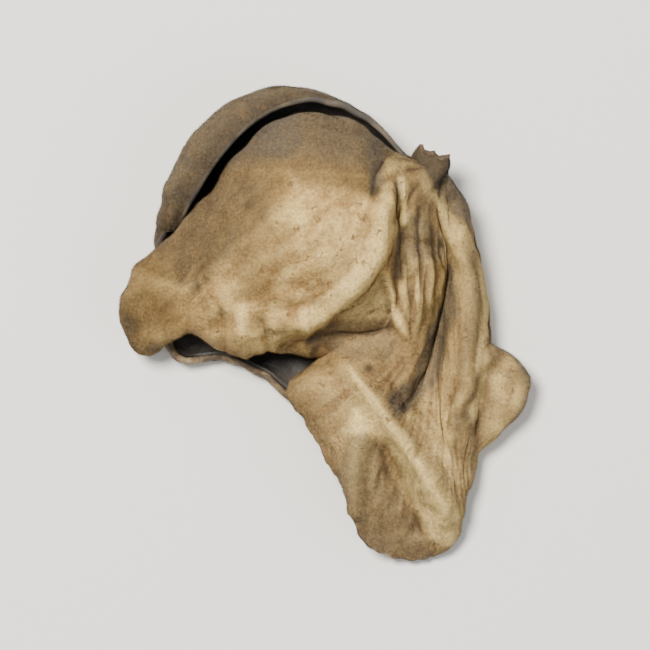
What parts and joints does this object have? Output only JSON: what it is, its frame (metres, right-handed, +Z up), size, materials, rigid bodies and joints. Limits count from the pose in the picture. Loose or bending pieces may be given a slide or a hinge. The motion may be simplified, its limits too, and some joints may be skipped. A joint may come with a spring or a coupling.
{
  "type": "wood ear mushroom",
  "caption": "Dried wood ear mushroom: a thin folded sheet with a velvety tan back, a smooth dark face and a short stub where it was cut off the wood.",
  "frame": {"origin": "middle of the ear's bounding box, at the level it rests on", "axes": "+Z up out of the velvety back as the ear lies, +Y towards the stub, +X towards the fold that joins the upper and the lower flap"},
  "size_m": [0.0556, 0.0646, 0.0248],
  "materials": {
    "velvety_back": "matt, velvety"
  },
  "bodies": {
    "root": {"wood_ear": "velvety_back"}
  },
  "joints": []
}
